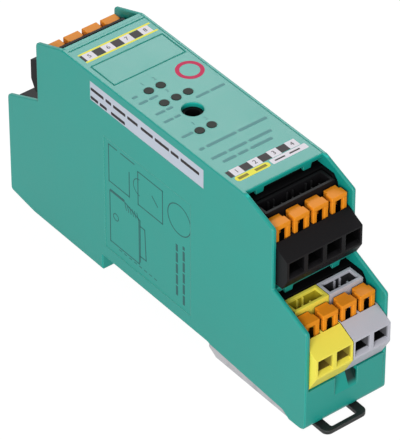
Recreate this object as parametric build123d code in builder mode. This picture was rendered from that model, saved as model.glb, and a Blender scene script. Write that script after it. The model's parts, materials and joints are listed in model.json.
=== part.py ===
from build123d import *
import os

os.makedirs("parts", exist_ok=True)

# Poles: the standard pitch sets the width
pole_count = 4
pole_pitch = 5.08
side_room = 1.09
housing_width = pole_count * pole_pitch + 2 * side_room

# Walls of the housing
flank_wall = 0.9
cover_thickness = 0.9
body_wall = 1.2
edge_bevel = 0.25
seam_bevel = 0.18

# Heights: y runs along the module, z up from the foot
lower_seat_z = 11.05
level_rise = 20.1
lower_level_extra = 0.45
lower_roof_z = lower_seat_z + level_rise + lower_level_extra
upper_roof_z = lower_roof_z + level_rise
upper_seat_z = lower_roof_z + body_wall
top_z = upper_roof_z + body_wall
top_slope_drop = 3.6
step_z = lower_roof_z + 1.75
step_slope_drop = 4.95
upper_end_z = top_z - top_slope_drop
lower_end_z = step_z - step_slope_drop

# Lengths: both ends have an upper and a lower terminal level
end_y = 52.7
mouth_depth = 11.7
level_run = 10.0
inner_shelf_length = 2.0
lower_mouth_y = end_y - mouth_depth
upper_mouth_y = lower_mouth_y - level_run
step_y = lower_mouth_y + 0.25
shoulder_y = upper_mouth_y + 0.6

# Corners of the flank
outer_corner_radius = 1.0
shoulder_radius = 1.5
foot_corner_radius = 1.9

# Rail recess and underside
rail_width = 35.0
rail_recess_near_y = -rail_width / 2 - 1.9
rail_recess_far_y = rail_width / 2 + 0.55
rail_seat_z = 4.1
rail_lip_width = 15.0
rail_lip_reach = 1.8
rail_lip_blunt = 0.7
rail_lip_height = 2.7
hook_ramp_length = 8.9
hook_ramp_y = end_y - hook_ramp_length
end_bottom_z = 1.3
near_skirt_front_z = 3.8
near_skirt_back_z = 2.5
near_skirt_back_y = -end_y + 7.5
near_ramp_y = -end_y + 5.3
near_ramp_z = 1.15

# Sides of the parts that are drawn round, in sight and out of sight
round_sides = 16
hidden_sides = 8

# Fits
seat_gap = 0.05
slide_gap = 0.3
plug_side_gap = 0.15

# Tabs that hang from each roof edge
tab_width = 2.2
tab_drop = 0.065 * level_rise
tab_spacing = 2.52 * pole_pitch
tab_thickness = 1.0
tab_taper = 6

# Plug, measured outward and down from the roof edge above it
plug_back = 1.1
tray_rim_drop = 0.1 * level_rise
tray_length = 4.4
tray_depth = 0.25 * level_rise
tray_wall = 0.7
lever_bay_length = 3.8
nose_reach = mouth_depth + 2.1
nose_crest_drop = 0.356 * level_rise
nose_front_drop = 0.468 * level_rise
nose_crease_drop = 0.726 * level_rise
underside_run = 0.55
lower_plug_clear = 1.45
upper_plug_clear = 1.5
tongue_inset = 0.9
window_width = pole_pitch - 1.08
window_height = 0.178 * level_rise
window_drop = 0.58 * level_rise
window_lip = 0.6
contact_floor_drop = 0.7 * level_rise
rib_thickness = 0.4
rib_gap = 0.33 * pole_pitch
middle_gap = 0.16

# Push lever
lever_width = pole_pitch - 0.98
lever_top_drop = 0.159 * level_rise
lever_plate = 1.2
lever_edge = 0.3
lever_neck_inset = 0.45
lever_neck_length = 1.3
lever_leg_width = 0.29 * lever_width
lever_leg_depth = 1.15
lever_leg_length = 0.313 * level_rise
lever_guide_length = 0.179 * level_rise
lever_guide_depth = 0.8
lever_side_gap = 0.15
lever_point_rise = 0.9
lever_point_run = 0.7

# Header and contacts
header_wall = 1.6
header_side = 0.7
header_floor = 1.1
header_floor_inset = 2.8
header_socket_length = 4.6
blank_setback = 3.25
pin_size = 0.9
pin_drop = 0.6865 * level_rise
pin_bend_pitch = 1.6
socket_size = 2.0
strip_thickness = 0.5
leaf_thickness = 0.3
leaf_height = 2.1
leaf_tip_rise = 0.3

# Circuit boards and what they carry
board_thickness = 1.6
board_gap = 0.15
board_top_drop = 1.3
board_top_z = upper_roof_z - board_top_drop
board_bottom_z = 6.2
front_board_drop = 8.7
front_board_z = upper_roof_z - front_board_drop
front_board_thickness = 1.2
component_room = 3.6
relay_length = upper_mouth_y - inner_shelf_length - 3 * slide_gap
relay_depth = 0.647 * level_rise
relay_z = lower_roof_z - 3.0
relay_radius = 0.6
transformer_length = 14.0
transformer_y = -13.5
coil_window = 0.35 * level_rise
coil_overhang = 1.0
capacitor_radius = 4.0
capacitor_z = board_bottom_z + capacitor_radius + 3.4
chip_size = 7.0
chip_height = 1.2
chip_z = board_bottom_z + 4.9
post_radius = 1.7
post_inset = 4.8
peg_radius = 0.85
peg_length = 3.0

# Indicator lenses and addressing socket, in the top face
lens_radius = 1.1
lens_proud = 0.1
lens_pitch = 3.24
lens_start_x = -5.12
lens_row_y = (8.5, 3.1, -9.1)
lens_row_count = (2, 3, 2)
light_chip_size = 1.8
light_chip_height = 1.1
socket_hole_radius = 2.5
socket_bore_radius = 1.75
socket_body_radius = 2.9
socket_bore_depth = 6.8
address_x = -1.75
address_y = -2.4

# Label, fields and lines on the faces
label_thickness = 0.1
label_recess = 0.15
flank_label_y = (-18.1, 21.5)
flank_label_drop = 2.1
flank_label_height = 5.1
mark_field_y = (-13.6, 16.9)
mark_field_bottom_z = 7.5
mark_field_drop = 14.4
face_line_width = 0.3
face_line_depth = 0.25
face_frame_inset = 1.4
face_frame_length = 8.6
face_frame_setback = 12.23
far_line_setback = 0.9

# Screwdriver notches under the lower plugs
notch_width = 6.1
notch_bottom_z = lower_seat_z - 3.65
notch_depth = 2.5

# Foot latch, pressed from sheet metal
latch_sheet = 1.0
latch_plate_top_z = 3.0
latch_front_y = rail_recess_near_y + 0.8
latch_back_y = -end_y + 6.3
latch_tongue_reach = 3.0
latch_tongue_width = 14.0
latch_lead_in = 2.5
latch_lead_rise = 1.55
latch_travel = 3.5
latch_slot_gap = 0.3
loop_width = 11.7
loop_center_x = -1.65
loop_end_y = -end_y - 2.8
loop_side_bar = 2.3
loop_front_bar = 1.1
loop_radius = 1.6
loop_window_radius = 0.4
neck_length = 1.4
front_screw_y = latch_front_y - 6.9
back_screw_y = latch_back_y + 5.4
screw_shank_radius = 1.25
screw_head_radius = 2.6
screw_head_height = 1.1
screw_boss_radius = 2.6
screw_boss_height = 4.0
coil_radius = 0.8
coil_bore_radius = 0.4
lug_width = 3.0
lug_clear = 0.1

# Values worked out from the sizes above
left_x = -housing_width / 2
right_x = housing_width / 2
inner_left_x = left_x + flank_wall
joint_x = right_x - cover_thickness
flank_label_z = (top_z - flank_label_drop - flank_label_height, top_z - flank_label_drop)
mark_field_z = (mark_field_bottom_z, top_z - mark_field_drop)
face_frame_width = housing_width - 2 * face_frame_inset
face_frame_y = upper_mouth_y - face_frame_setback
far_line_y = upper_mouth_y - far_line_setback
latch_floor_z = latch_plate_top_z + slide_gap
latch_plate_z = latch_plate_top_z - latch_sheet
lug_y = front_screw_y - screw_head_radius - slide_gap - latch_sheet
board_x = inner_left_x + board_gap
board_face_x = board_x + board_thickness
component_height = joint_x - board_face_x - component_room
transformer_height = relay_z - relay_depth / 2 - board_bottom_z - 2.5
transformer_z = board_bottom_z + slide_gap + transformer_height / 2
plug_half = min(-inner_left_x, joint_x) - plug_side_gap
tongue_half = plug_half - tongue_inset
pole_x = [(i - (pole_count - 1) / 2) * pole_pitch for i in range(pole_count)]
upper_level = (upper_mouth_y, upper_roof_z, upper_seat_z)
lower_level = (lower_mouth_y, lower_roof_z, lower_seat_z)


def slope_z(y):
    """Height of the lower sloping edge of the flank at a distance from the middle."""
    return step_z - (y - step_y) * step_slope_drop / (end_y - step_y)


def save(part, name):
    """Pieces are drawn up from the foot, and stored with the rail seat at the origin."""
    placed = Pos(0, 0, -rail_seat_z) * part
    placed.label = name
    export_step(placed, f"parts/{name}.step")


def at_end(part, far):
    """Pieces are drawn at the far end and mirrored for the near end."""
    return part if far else part.mirror(Plane.XZ)


def outline_points():
    """Corners of the flank with the radius of each."""
    return (
        ((-end_y, end_bottom_z), foot_corner_radius),
        ((-end_y, lower_end_z), outer_corner_radius),
        ((-step_y, step_z), 0),
        ((-step_y, upper_end_z), outer_corner_radius),
        ((-shoulder_y, top_z), shoulder_radius),
        ((shoulder_y, top_z), shoulder_radius),
        ((step_y, upper_end_z), outer_corner_radius),
        ((step_y, step_z), 0),
        ((end_y, lower_end_z), outer_corner_radius),
        ((end_y, end_bottom_z), outer_corner_radius),
        ((hook_ramp_y, 0), outer_corner_radius),
        ((rail_recess_far_y, 0), 0),
        ((rail_recess_far_y, rail_seat_z), 0),
        ((rail_recess_near_y, rail_seat_z), 0),
        ((rail_recess_near_y - outer_corner_radius, near_skirt_front_z), 0),
        ((near_skirt_back_y, near_skirt_back_z), outer_corner_radius),
        ((near_ramp_y, near_ramp_z), outer_corner_radius),
    )


def flank_outline():
    """Closed outline of the housing, in the plane that the caller works in."""
    corners = outline_points()
    points = [corner for corner, radius in corners]
    radii = [radius for corner, radius in corners]
    FilletPolyline(*points, radius=radii, close=True)


def make_housing():
    """Left flank, roof, shelves and ends, moulded in one."""
    with BuildPart() as shell:
        with BuildSketch(Plane.YZ.offset(left_x)):
            with BuildLine():
                flank_outline()
            make_face()
        extrude(amount=housing_width - cover_thickness)
        chamfer(shell.faces().sort_by(Axis.X)[0].edges(), edge_bevel)

        # Three rooms: the two terminal levels, and the board space that joins them
        with BuildSketch(Plane.YZ.offset(inner_left_x)):
            with BuildLine():
                Polyline(
                    (-step_y - body_wall, upper_seat_z), (-step_y - body_wall, top_z + body_wall),
                    (-upper_mouth_y, top_z + body_wall), (-upper_mouth_y, upper_roof_z),
                    (upper_mouth_y, upper_roof_z), (upper_mouth_y, top_z + body_wall),
                    (step_y + body_wall, top_z + body_wall), (step_y + body_wall, upper_seat_z),
                    close=True,
                )
            make_face()
            shelf_y = lower_mouth_y - inner_shelf_length
            wall_y = end_y - body_wall
            ledge_z = lower_seat_z + header_floor + seat_gap
            outside_y = end_y + body_wall
            far_floor_z = body_wall + slide_gap
            near_floor_z = latch_floor_z + body_wall
            room_floor_z = rail_seat_z + body_wall
            with BuildLine():
                Polyline(
                    (-wall_y, lower_seat_z), (-wall_y, ledge_z), (-outside_y, ledge_z),
                    (-outside_y, step_z + body_wall), (-lower_mouth_y, step_z + body_wall),
                    (-lower_mouth_y, lower_roof_z), (lower_mouth_y, lower_roof_z),
                    (lower_mouth_y, step_z + body_wall), (outside_y, step_z + body_wall),
                    (outside_y, ledge_z), (wall_y, ledge_z), (wall_y, lower_seat_z),
                    (shelf_y, lower_seat_z), (shelf_y, lower_seat_z - body_wall),
                    (wall_y, lower_seat_z - body_wall), (wall_y, end_bottom_z + body_wall),
                    (hook_ramp_y, far_floor_z), (rail_recess_far_y + body_wall, far_floor_z),
                    (rail_recess_far_y + body_wall, room_floor_z),
                    (rail_recess_near_y, room_floor_z),
                    (rail_recess_near_y - body_wall, near_floor_z),
                    (-wall_y, near_floor_z), (-wall_y, lower_seat_z - body_wall),
                    (-shelf_y, lower_seat_z - body_wall), (-shelf_y, lower_seat_z),
                    close=True,
                )
            make_face()
            with Locations((0, lower_roof_z + body_wall / 2)):
                Rectangle(2 * (upper_mouth_y - inner_shelf_length), 3 * body_wall)
        extrude(amount=housing_width, mode=Mode.SUBTRACT)

        # Channel for the foot latch, between the flanks
        channel_length = rail_recess_near_y + wall_y
        with BuildSketch(Plane.XY):
            with Locations(((inner_left_x + right_x) / 2, -wall_y + channel_length / 2)):
                Rectangle(right_x - inner_left_x, channel_length)
        extrude(amount=latch_floor_z, mode=Mode.SUBTRACT)

        # Lip that the fixed edge of the rail slides under
        with BuildSketch(Plane.YZ.offset(-rail_lip_width / 2)):
            with BuildLine():
                Polyline(
                    (rail_recess_far_y + body_wall, 0), (rail_recess_far_y - rail_lip_blunt, 0),
                    (rail_recess_far_y - rail_lip_reach, rail_lip_height - body_wall),
                    (rail_recess_far_y - rail_lip_reach, rail_lip_height),
                    (rail_recess_far_y + body_wall, rail_lip_height),
                    close=True,
                )
            make_face()
        extrude(amount=rail_lip_width)

        # Blocks behind the screwdriver notches, then the notches themselves
        for side in (-1, 1):
            block_depth = notch_depth + body_wall
            with BuildSketch(Plane.XY.offset(notch_bottom_z - body_wall)):
                with Locations((0, side * (end_y - block_depth / 2))):
                    Rectangle(notch_width + 2 * body_wall, block_depth - outer_corner_radius)
            extrude(amount=lower_seat_z - notch_bottom_z + body_wall)
            notch_top_z = ledge_z + body_wall
            with BuildSketch(Plane.YZ.offset(-notch_width / 2)):
                with BuildLine():
                    Polyline(
                        (side * (end_y + body_wall), notch_bottom_z), (side * end_y, notch_bottom_z),
                        (side * (end_y - notch_depth), notch_top_z),
                        (side * (end_y + body_wall), notch_top_z),
                        close=True,
                    )
                make_face()
            extrude(amount=notch_width, mode=Mode.SUBTRACT)

        # Tabs that hang from each roof edge over the headers
        for mouth_y, roof_z, seat_z in (upper_level, lower_level):
            for side in (-1, 1):
                with BuildSketch(Plane.XY.offset(roof_z)):
                    with GridLocations(tab_spacing, 0, 2, 1):
                        with Locations((0, side * (mouth_y - tab_thickness / 2))):
                            Rectangle(tab_width, tab_thickness)
                extrude(amount=-tab_drop, taper=tab_taper)

        # Posts for the board, bored for the pegs of the cover
        with BuildSketch(Plane.YZ.offset(inner_left_x)):
            with Locations(*post_places()):
                RegularPolygon(post_radius, hidden_sides)
        extrude(amount=joint_x - inner_left_x - seat_gap)
        with BuildSketch(Plane.YZ.offset(joint_x)):
            with Locations(*post_places()):
                RegularPolygon(peg_radius + seat_gap, hidden_sides)
        extrude(amount=-peg_length - body_wall, mode=Mode.SUBTRACT)

        # Bosses for the latch screws
        with BuildSketch(Plane.XY.offset(latch_floor_z)):
            with Locations((0, front_screw_y), (0, back_screw_y)):
                RegularPolygon(screw_boss_radius, round_sides)
        extrude(amount=screw_boss_height)
        with BuildSketch(Plane.XY.offset(latch_floor_z)):
            with Locations((0, front_screw_y), (0, back_screw_y)):
                RegularPolygon(screw_shank_radius + seat_gap, round_sides)
        extrude(amount=screw_boss_height - body_wall, mode=Mode.SUBTRACT)

        # Holes in the roof for the lenses and the addressing socket
        with BuildSketch(Plane.XY.offset(top_z)):
            with Locations(*lens_places()):
                RegularPolygon(lens_radius + seat_gap, round_sides)
            with Locations((address_x, address_y)):
                Circle(socket_hole_radius)
        extrude(amount=-2 * body_wall, mode=Mode.SUBTRACT)

        # Lines moulded into the top face
        with BuildSketch(Plane.XY.offset(top_z)):
            with Locations((0, face_frame_y)):
                Rectangle(face_frame_width, face_frame_length)
                Rectangle(face_frame_width - 2 * face_line_width,
                          face_frame_length - 2 * face_line_width, mode=Mode.SUBTRACT)
            with Locations((0, far_line_y)):
                Rectangle(2 * joint_x, face_line_width)
        extrude(amount=-face_line_depth, mode=Mode.SUBTRACT)

        # Shallow fields in the flank for the label and the marking
        with BuildSketch(Plane.YZ.offset(left_x)):
            field(flank_label_y, flank_label_z)
        extrude(amount=label_recess, mode=Mode.SUBTRACT)
        with BuildSketch(Plane.YZ.offset(left_x)):
            field(mark_field_y, mark_field_z)
        extrude(amount=label_recess, mode=Mode.SUBTRACT)
    return shell.part


def field(span_y, span_z):
    """Rectangle given by its limits along the flank."""
    with Locations(((span_y[0] + span_y[1]) / 2, (span_z[0] + span_z[1]) / 2)):
        Rectangle(span_y[1] - span_y[0], span_z[1] - span_z[0])


def post_places():
    """Places of the five posts in the flank plane."""
    high_y = upper_mouth_y - post_inset
    low_y = lower_mouth_y - inner_shelf_length - post_inset
    return (
        (-high_y, board_top_z - 2 * post_radius), (high_y, board_top_z - 2 * post_radius),
        (-low_y, lower_roof_z - 4 * post_radius), (low_y, lower_roof_z - 4 * post_radius),
        (0, board_bottom_z + 2 * post_radius),
    )


def lens_places():
    """Places of the indicator lenses in the top face."""
    rows = zip(lens_row_y, lens_row_count)
    return [(lens_start_x + i * lens_pitch, y) for y, count in rows for i in range(count)]


def make_cover():
    """Right flank, with pegs for the posts."""
    with BuildPart() as cover:
        with BuildSketch(Plane.YZ.offset(joint_x)):
            with BuildLine():
                flank_outline()
            make_face()
        extrude(amount=cover_thickness)
        chamfer(cover.faces().sort_by(Axis.X)[-1].edges(), edge_bevel)
        chamfer(cover.faces().sort_by(Axis.X)[0].edges(), seam_bevel)
        with BuildSketch(Plane.YZ.offset(joint_x)):
            with Locations(*post_places()):
                RegularPolygon(peg_radius, hidden_sides)
        extrude(amount=-peg_length)
    return cover.part


def make_header(level):
    """Pin header: back wall, floor and two side walls, open outward and upward."""
    mouth_y, roof_z, seat_z = level
    half = plug_half + plug_side_gap - seat_gap
    back_y = mouth_y - inner_shelf_length
    wall_y = mouth_y + plug_back - slide_gap
    top = roof_z - tray_rim_drop + slide_gap
    floor_end_y = mouth_y + mouth_depth - header_floor_inset
    with BuildPart() as header:
        with BuildSketch(Plane.YZ.offset(-half)):
            with BuildLine():
                Polyline(
                    (back_y, seat_z), (floor_end_y, seat_z), (floor_end_y, seat_z + header_floor),
                    (wall_y, seat_z + header_floor), (wall_y, top),
                    (mouth_y - tab_thickness - slide_gap, top),
                    (mouth_y - tab_thickness - slide_gap, roof_z - seat_gap),
                    (back_y, roof_z - seat_gap),
                    close=True,
                )
            make_face()
        extrude(amount=2 * half)
        side_end_y = mouth_y + plug_back + header_socket_length
        for x in (-half, half - header_side):
            with BuildSketch(Plane.YZ.offset(x)):
                with BuildLine():
                    Polyline(
                        (wall_y, seat_z), (side_end_y - slide_gap, seat_z),
                        (side_end_y - slide_gap, top - header_wall), (side_end_y - header_wall, top),
                        (wall_y, top),
                        close=True,
                    )
                make_face()
            extrude(amount=header_side)
        with BuildSketch(Plane.XZ.offset(-back_y)):
            with Locations(*[(x, roof_z - pin_drop) for x in pole_x]):
                Rectangle(pin_size, pin_size)
        extrude(amount=-(wall_y - back_y), mode=Mode.SUBTRACT)
    return header.part


def make_header_pins(level):
    """Square pins that run inward and turn to the board."""
    mouth_y, roof_z, seat_z = level
    z = roof_z - pin_drop
    back_y = mouth_y - inner_shelf_length
    with BuildPart() as pins:
        for i, x in enumerate(pole_x):
            bend_y = back_y - pin_size - i * pin_bend_pitch
            tip_y = mouth_y + plug_back + tray_length - slide_gap
            with BuildSketch(Plane.XY.offset(z - pin_size / 2)):
                with BuildLine():
                    Polyline(
                        (board_face_x, bend_y), (x + pin_size / 2, bend_y),
                        (x + pin_size / 2, tip_y), (x - pin_size / 2, tip_y),
                        (x - pin_size / 2, bend_y + pin_size), (board_face_x, bend_y + pin_size),
                        close=True,
                    )
                make_face()
            extrude(amount=pin_size)
    return pins.part


def plug_bottom(level):
    """Underside of a plug at the given level."""
    clear = lower_plug_clear if level is lower_level else upper_plug_clear
    return level[2] + clear


def make_plug(level, x_from, x_to, poles):
    """Plug body with wire windows, lever bays, contact bores and the tray behind the levers."""
    mouth_y, roof_z, seat_z = level
    back = mouth_y + plug_back
    shoulder = back + header_socket_length
    tray_end = back + tray_length
    bay_end = tray_end + lever_bay_length
    front = mouth_y + nose_reach
    bottom = plug_bottom(level)
    crease = roof_z - nose_crease_drop
    rim = roof_z - tray_rim_drop
    crest = roof_z - nose_crest_drop
    foot_y = front - (crease - bottom) * underside_run
    body_floor = roof_z - contact_floor_drop
    middle = (x_from + x_to) / 2
    tongue_from = max(x_from, -tongue_half)
    tongue_to = min(x_to, tongue_half)
    with BuildPart() as plug:
        with BuildSketch(Plane.YZ.offset(x_from)):
            with BuildLine():
                Polyline(
                    (shoulder, bottom), (foot_y, bottom), (front, crease),
                    (front, roof_z - nose_front_drop), (bay_end, crest), (shoulder, crest),
                    close=True,
                )
            make_face()
        extrude(amount=x_to - x_from)
        with BuildSketch(Plane.YZ.offset(tongue_from)):
            with BuildLine():
                Polyline(
                    (back, bottom), (shoulder, bottom), (shoulder, crest),
                    (tray_end, crest), (tray_end, rim), (back, rim),
                    close=True,
                )
            make_face()
        extrude(amount=tongue_to - tongue_from)

        # Tray, with a pair of ribs at each pole boundary
        with BuildSketch(Plane.XY.offset(rim)):
            with Locations(((tongue_from + tongue_to) / 2, back + tray_length / 2)):
                Rectangle(tongue_to - tongue_from - 2 * tray_wall, tray_length - 2 * tray_wall)
        extrude(amount=-tray_depth, mode=Mode.SUBTRACT)
        boundaries = [(a + b) / 2 for a, b in zip(poles[:-1], poles[1:])]
        for x in boundaries:
            with BuildSketch(Plane.XY.offset(rim - tray_depth)):
                with Locations((x, tray_end - tray_wall - rib_thickness)):
                    with GridLocations(rib_gap + rib_thickness, 0, 2, 1):
                        Rectangle(rib_thickness, 2 * rib_thickness)
            extrude(amount=tray_depth - rib_thickness)

        # Lever bays, wire windows with a bevelled lower lip, and contact bores
        bay_width = lever_width + 2 * lever_side_gap
        with BuildSketch(Plane.XY.offset(rim)):
            with Locations(*[(x, tray_end + lever_bay_length / 2) for x in poles]):
                Rectangle(bay_width, lever_bay_length)
        extrude(amount=-(rim - body_floor), mode=Mode.SUBTRACT)
        for x in poles:
            window_z = roof_z - window_drop - window_height / 2
            with BuildSketch(Plane.YZ.offset(x - window_width / 2)):
                with BuildLine():
                    Polyline(
                        (front + body_wall, window_z - window_lip),
                        (front, window_z - window_lip), (front - 2 * window_lip, window_z),
                        (tray_end, window_z), (tray_end, window_z + window_height),
                        (front + body_wall, window_z + window_height),
                        close=True,
                    )
                make_face()
            extrude(amount=window_width, mode=Mode.SUBTRACT)
        with BuildSketch(Plane.XZ.offset(-back)):
            with Locations(*[(x, roof_z - pin_drop) for x in poles]):
                Rectangle(socket_size + 4 * seat_gap, socket_size + 2 * seat_gap)
        extrude(amount=-(tray_length + seat_gap), mode=Mode.SUBTRACT)
    return plug.part


def make_lever(level, x):
    """Push lever: a plate with a narrower back, two pointed legs in front and two short guides behind."""
    mouth_y, roof_z, seat_z = level
    start = mouth_y + plug_back + tray_length + lever_side_gap
    end = start + lever_bay_length - 2 * lever_side_gap
    neck_end = start + lever_neck_length
    neck_width = lever_width - 2 * lever_neck_inset
    top = roof_z - lever_top_drop
    foot = top - lever_leg_length
    with BuildPart() as lever:
        with BuildSketch(Plane.XY.offset(top)):
            with Locations((x, (neck_end + end) / 2)):
                Rectangle(lever_width, end - neck_end)
            with Locations((x, (start + neck_end) / 2)):
                Rectangle(neck_width, lever_neck_length)
        extrude(amount=-lever_plate)
        with BuildSketch(Plane.XY.offset(top - lever_plate)):
            with Locations((x, end - lever_leg_depth / 2)):
                with GridLocations(lever_width - lever_leg_width, 0, 2, 1):
                    Rectangle(lever_leg_width, lever_leg_depth)
        extrude(amount=-(lever_leg_length - lever_plate))
        with BuildSketch(Plane.XY.offset(top - lever_plate)):
            with Locations((x, start + lever_guide_depth / 2)):
                with GridLocations(neck_width - lever_leg_width, 0, 2, 1):
                    Rectangle(lever_leg_width, lever_guide_depth)
        extrude(amount=-lever_guide_length)
        front = lever.edges().filter_by(Axis.X).filter_by_position(Axis.Y, end - seat_gap, end + seat_gap)
        chamfer(front.filter_by_position(Axis.Z, top - seat_gap, top + seat_gap), lever_edge)
        leg_ends = front.filter_by_position(Axis.Z, foot - seat_gap, foot + seat_gap)
        chamfer(leg_ends, lever_point_rise, lever_point_run)
    return lever.part


def make_contacts(level, poles):
    """One socket and landing strip for each pole."""
    mouth_y, roof_z, seat_z = level
    back = mouth_y + plug_back
    floor_z = roof_z - contact_floor_drop
    with BuildPart() as contacts:
        for x in poles:
            with BuildSketch(Plane.XZ.offset(-back)):
                with Locations((x, roof_z - pin_drop)):
                    Rectangle(socket_size, socket_size)
                    Rectangle(pin_size + 2 * seat_gap, pin_size + 2 * seat_gap, mode=Mode.SUBTRACT)
            extrude(amount=-tray_length)
            with BuildSketch(Plane.XY.offset(floor_z)):
                with Locations((x, back + tray_length + lever_bay_length / 2)):
                    Rectangle(socket_size, lever_bay_length)
            extrude(amount=strip_thickness)
    return contacts.part


def make_clamp_springs(level, poles):
    """Leaf that presses each wire onto its strip."""
    mouth_y, roof_z, seat_z = level
    start = mouth_y + plug_back + tray_length + lever_side_gap
    floor_z = roof_z - contact_floor_drop + strip_thickness
    bend_z = floor_z + leaf_height
    tip_y = start + lever_bay_length - 4 * lever_side_gap
    tip_z = floor_z + leaf_tip_rise
    with BuildPart() as springs:
        for x in poles:
            with BuildSketch(Plane.YZ.offset(x - socket_size / 2)):
                with BuildLine():
                    Polyline(
                        (start, floor_z), (start, bend_z),
                        (start + 2 * leaf_thickness, bend_z + leaf_thickness),
                        (tip_y, tip_z + leaf_thickness), (tip_y - leaf_thickness, tip_z),
                        (start + 2 * leaf_thickness, bend_z), (start + leaf_thickness, bend_z - leaf_thickness),
                        (start + leaf_thickness, floor_z),
                        close=True,
                    )
                make_face()
            extrude(amount=socket_size)
    return springs.part


def make_blank():
    """Closing piece of the unused lower far level, flush with the sloping flanks."""
    half = plug_half
    start = lower_mouth_y + slide_gap
    end = end_y - blank_setback
    base = lower_seat_z + seat_gap
    with BuildPart() as blank:
        with BuildSketch(Plane.YZ.offset(-half)):
            with BuildLine():
                Polyline(
                    (start - inner_shelf_length, base), (end, base), (end, slope_z(end)),
                    (step_y + slide_gap, slope_z(step_y + slide_gap) - slide_gap),
                    (start, lower_roof_z - tab_drop - slide_gap),
                    (start - inner_shelf_length, lower_roof_z - tab_drop - slide_gap),
                    close=True,
                )
            make_face()
        extrude(amount=2 * half)
        with BuildSketch(Plane.YZ.offset(-half + body_wall)):
            with BuildLine():
                Polyline(
                    (start - 2 * inner_shelf_length, base + body_wall), (end - body_wall, base + body_wall),
                    (end - body_wall, slope_z(end) - body_wall),
                    (start, lower_roof_z - tab_drop - slide_gap - body_wall),
                    (start - 2 * inner_shelf_length, lower_roof_z - tab_drop - slide_gap - body_wall),
                    close=True,
                )
            make_face()
        extrude(amount=2 * half - 2 * body_wall, mode=Mode.SUBTRACT)
    return blank.part


def make_main_board():
    """Board along the left flank, narrower above the lower headers, with holes for the posts."""
    low_y = lower_mouth_y - inner_shelf_length - slide_gap
    high_y = upper_mouth_y - inner_shelf_length - slide_gap
    with BuildPart() as board:
        with BuildSketch(Plane.YZ.offset(board_x)):
            with BuildLine():
                Polyline(
                    (-low_y, board_bottom_z), (low_y, board_bottom_z), (low_y, lower_roof_z - slide_gap),
                    (high_y, lower_roof_z - slide_gap), (high_y, board_top_z), (-high_y, board_top_z),
                    (-high_y, lower_roof_z - slide_gap), (-low_y, lower_roof_z - slide_gap),
                    close=True,
                )
            make_face()
            with Locations(*post_places()):
                RegularPolygon(post_radius + seat_gap, hidden_sides, mode=Mode.SUBTRACT)
        extrude(amount=board_thickness)
    return board.part


def front_board_half():
    """Half length of the front board, clear of the posts."""
    return upper_mouth_y - post_inset - post_radius - 3 * slide_gap


def make_front_board():
    """Small board under the roof that carries the indicators and the addressing socket."""
    width = joint_x - board_face_x - slide_gap
    with BuildPart() as board:
        with BuildSketch(Plane.XY.offset(front_board_z)):
            with Locations((board_face_x + width / 2, 0)):
                Rectangle(width, 2 * front_board_half())
        extrude(amount=front_board_thickness)
    return board.part


def make_light_chips():
    """One light-emitting chip under each lens."""
    with BuildPart() as chips:
        with BuildSketch(Plane.XY.offset(front_board_z + front_board_thickness)):
            with Locations(*lens_places()):
                Rectangle(light_chip_size, light_chip_size)
        extrude(amount=light_chip_height)
    return chips.part


def make_lenses():
    """Light guides from the chips to the top face."""
    foot_z = front_board_z + front_board_thickness + light_chip_height
    with BuildPart() as lenses:
        with BuildSketch(Plane.XY.offset(foot_z)):
            with Locations(*lens_places()):
                RegularPolygon(lens_radius, round_sides)
        extrude(amount=top_z + lens_proud - foot_z)
    return lenses.part


def make_address_socket():
    """Round socket under the hole in the roof."""
    with BuildPart() as socket:
        with BuildSketch(Plane.XY.offset(front_board_z + front_board_thickness)):
            with Locations((address_x, address_y)):
                RegularPolygon(socket_body_radius, round_sides)
        extrude(amount=upper_roof_z - front_board_z - front_board_thickness)
        with BuildSketch(Plane.XY.offset(upper_roof_z)):
            with Locations((address_x, address_y)):
                Circle(socket_bore_radius)
        extrude(amount=-socket_bore_depth, mode=Mode.SUBTRACT)
    return socket.part


def make_relay(side):
    """Sealed relay lying along the board."""
    with BuildPart() as relay:
        with BuildSketch(Plane.YZ.offset(board_face_x)):
            with Locations((side * (relay_length / 2 + slide_gap), relay_z)):
                RectangleRounded(relay_length, relay_depth, relay_radius)
        extrude(amount=component_height)
    return relay.part


def make_transformer():
    """Core frame with its winding between the legs."""
    with BuildPart() as transformer:
        with BuildSketch(Plane.YZ.offset(board_face_x)):
            with Locations((transformer_y, transformer_z)):
                Rectangle(transformer_length, transformer_height)
        extrude(amount=component_height)
        with BuildSketch(Plane.YZ.offset(board_face_x + body_wall)):
            with Locations((transformer_y, transformer_z)):
                Rectangle(transformer_length + 2 * coil_overhang, coil_window)
        extrude(amount=component_height - 2 * body_wall)
    return transformer.part


def make_capacitor(index):
    """Round capacitor standing on the board."""
    y = post_radius + slide_gap + capacitor_radius + index * (2 * capacitor_radius + 2 * slide_gap)
    with BuildPart() as capacitor:
        with BuildSketch(Plane.YZ.offset(board_face_x)):
            with Locations((y, capacitor_z)):
                RegularPolygon(capacitor_radius, round_sides)
        extrude(amount=component_height - component_room)
    return capacitor.part


def make_controller(side):
    """Control chip, one for each channel."""
    y = side * (lower_mouth_y - inner_shelf_length - chip_size)
    with BuildPart() as chip:
        with BuildSketch(Plane.YZ.offset(board_face_x)):
            with Locations((y, chip_z)):
                Rectangle(chip_size, chip_size)
        extrude(amount=chip_height)
    return chip.part


def make_flank_label():
    """Thin label in its field on the left flank."""
    with BuildPart() as label:
        with BuildSketch(Plane.YZ.offset(left_x + label_recess - label_thickness)):
            field((flank_label_y[0] + seat_gap, flank_label_y[1] - seat_gap),
                  (flank_label_z[0] + seat_gap, flank_label_z[1] - seat_gap))
        extrude(amount=label_thickness)
    return label.part


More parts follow.
